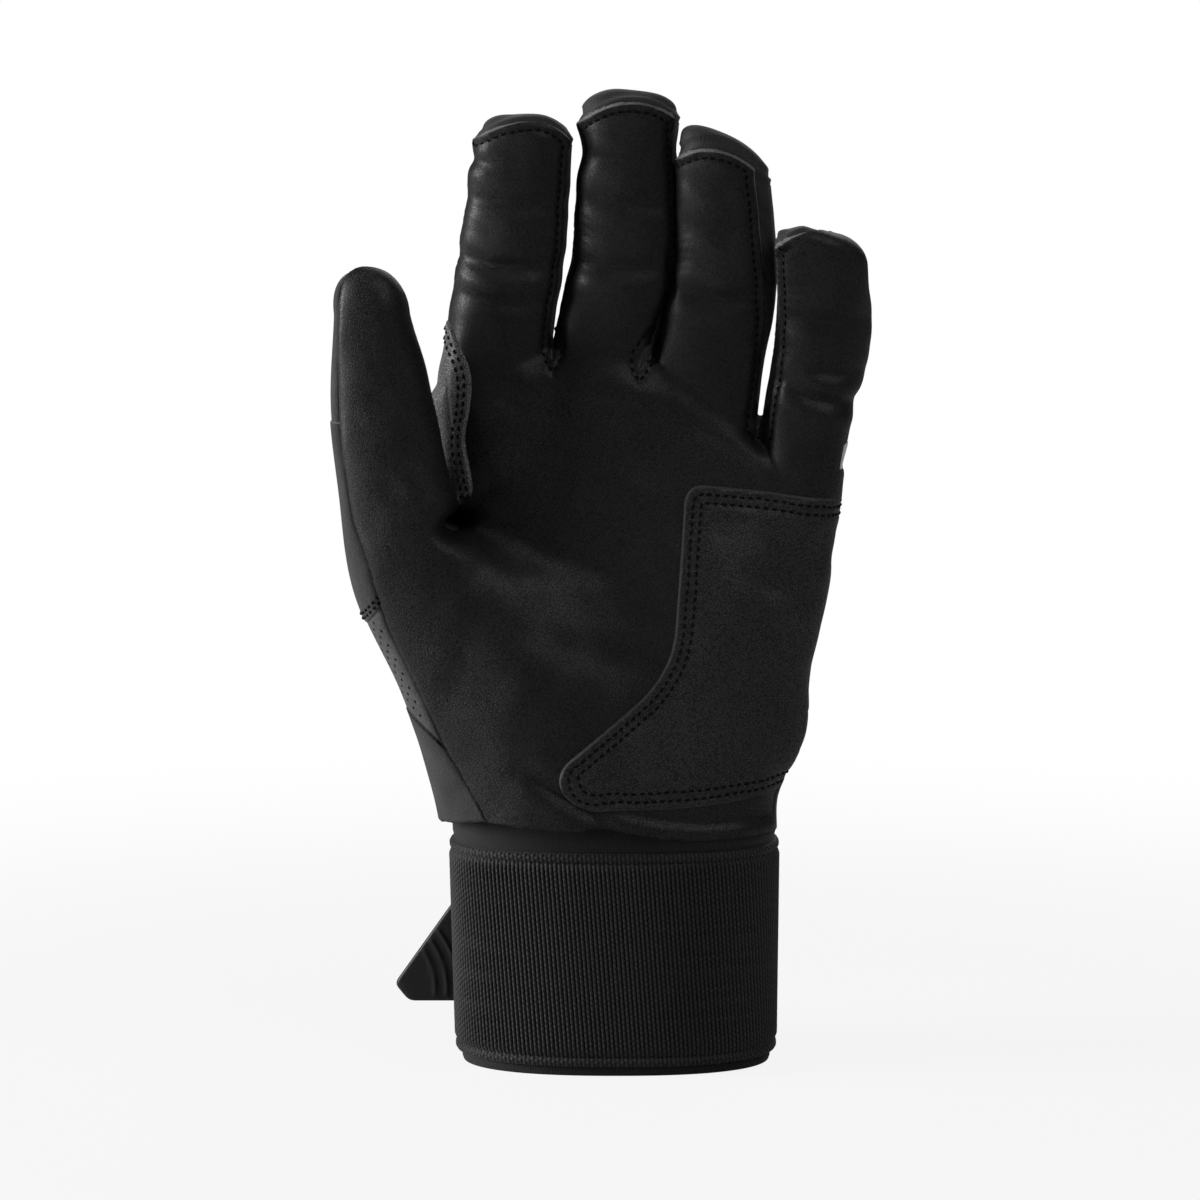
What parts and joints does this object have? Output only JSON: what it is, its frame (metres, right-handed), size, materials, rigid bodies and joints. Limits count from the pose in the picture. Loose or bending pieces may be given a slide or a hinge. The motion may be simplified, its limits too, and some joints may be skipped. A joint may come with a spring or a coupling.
{
  "type": "batting glove",
  "caption": "Black left-hand batting glove with a leather palm, sewn finger stalls, a reinforced heel patch, a wide elastic cuff and a hook-and-loop wrist strap with a pull tab.",
  "frame": {"origin": "centre of the glove's outline, on the surface that the cuff's rim stands on", "axes": "+Z to the fingertips, palm facing -Y, thumb at -X"},
  "size_m": [0.1357, 0.059, 0.2465],
  "materials": {
    "leather": "fine-grained black leather, soft sheen",
    "stretch_cloth": "matte black stretch cloth",
    "suede": "charcoal synthetic suede",
    "elastic": "ribbed black elastic webbing",
    "rubber": "moulded matte rubber",
    "pale_rubber": "plain pale grey rubber",
    "hook_plastic": "black hook tape"
  },
  "bodies": {
    "hand": {"palm_panel": "leather", "heel_patch": "leather", "index_side_panel": "leather", "back_panel": "stretch_cloth", "knuckle_flex_panel": "stretch_cloth", "thumb_side_panel": "suede", "perforated_panel": "suede", "wrist_side_panel": "suede", "edge_trim": "pale_rubber", "cuff_band": "stretch_cloth", "wrist_elastic": "elastic", "loop_patch": "stretch_cloth"},
    "strap": {"closure_strap": "elastic", "hook_patch": "hook_plastic", "pull_tab": "rubber"},
    "index_lower": {"index_lower_front": "leather", "index_lower_back": "stretch_cloth", "index_lower_gusset": "stretch_cloth"},
    "index_upper": {"index_upper_front": "leather", "index_upper_back": "stretch_cloth", "index_upper_gusset": "stretch_cloth"},
    "middle_lower": {"middle_lower_front": "leather", "middle_lower_back": "stretch_cloth", "middle_lower_gusset": "stretch_cloth"},
    "middle_upper": {"middle_upper_front": "leather", "middle_upper_back": "stretch_cloth", "middle_upper_gusset": "stretch_cloth"},
    "ring_lower": {"ring_lower_front": "leather", "ring_lower_back": "stretch_cloth", "ring_lower_gusset": "stretch_cloth"},
    "ring_upper": {"ring_upper_front": "leather", "ring_upper_back": "stretch_cloth", "ring_upper_gusset": "stretch_cloth"},
    "little_lower": {"little_lower_front": "leather", "little_lower_back": "stretch_cloth", "little_lower_gusset": "stretch_cloth"},
    "little_upper": {"little_upper_front": "leather", "little_upper_back": "stretch_cloth", "little_upper_gusset": "stretch_cloth"},
    "thumb_lower": {"thumb_lower_front": "leather", "thumb_lower_back": "suede"},
    "thumb_upper": {"thumb_upper_front": "leather", "thumb_upper_back": "suede"}
  },
  "joints": [
    {"name": "index_root_flex", "type": "hinge", "parent": "hand", "child": "index_lower", "pos_m": [-0.0256, -0.01, 0.182], "axis": [1, 0, 0], "range_deg": [0, 70], "stiffness_Nm_per_rad": 0.02},
    {"name": "index_middle_flex", "type": "hinge", "parent": "index_lower", "child": "index_upper", "pos_m": [-0.0235, -0.01265, 0.203], "axis": [1, 0, 0], "range_deg": [0, 80], "stiffness_Nm_per_rad": 0.02},
    {"name": "middle_root_flex", "type": "hinge", "parent": "hand", "child": "middle_lower", "pos_m": [0.0012, -0.01, 0.18], "axis": [1, 0, 0], "range_deg": [0, 70], "stiffness_Nm_per_rad": 0.02},
    {"name": "middle_middle_flex", "type": "hinge", "parent": "middle_lower", "child": "middle_upper", "pos_m": [0.0058, -0.01335, 0.203], "axis": [1, 0, 0], "range_deg": [0, 80], "stiffness_Nm_per_rad": 0.02},
    {"name": "ring_root_flex", "type": "hinge", "parent": "hand", "child": "ring_lower", "pos_m": [0.0279, -0.01, 0.176], "axis": [1, 0, 0], "range_deg": [0, 70], "stiffness_Nm_per_rad": 0.02},
    {"name": "ring_middle_flex", "type": "hinge", "parent": "ring_lower", "child": "ring_upper", "pos_m": [0.03185, -0.0144, 0.197], "axis": [1, 0, 0], "range_deg": [0, 80], "stiffness_Nm_per_rad": 0.02},
    {"name": "little_root_flex", "type": "hinge", "parent": "hand", "child": "little_lower", "pos_m": [0.0527, -0.01, 0.165], "axis": [1, 0, 0], "range_deg": [0, 70], "stiffness_Nm_per_rad": 0.02},
    {"name": "little_middle_flex", "type": "hinge", "parent": "little_lower", "child": "little_upper", "pos_m": [0.05625, -0.0151, 0.185], "axis": [1, 0, 0], "range_deg": [0, 80], "stiffness_Nm_per_rad": 0.02},
    {"name": "thumb_root_flex", "type": "hinge", "parent": "hand", "child": "thumb_lower", "pos_m": [-0.04531, -0.03019, 0.148], "axis": [0.9063, 0.4226, 0], "range_deg": [0, 20], "stiffness_Nm_per_rad": 0.02},
    {"name": "thumb_middle_flex", "type": "hinge", "parent": "thumb_lower", "child": "thumb_upper", "pos_m": [-0.05021, -0.02977, 0.168], "axis": [0.9063, 0.4226, 0], "range_deg": [0, 30], "stiffness_Nm_per_rad": 0.02},
    {"name": "strap_peel", "type": "hinge", "parent": "hand", "child": "strap", "pos_m": [0.03, 0.02301, 0.008], "axis": [0, 0, -1], "range_deg": [0, 110]}
  ]
}
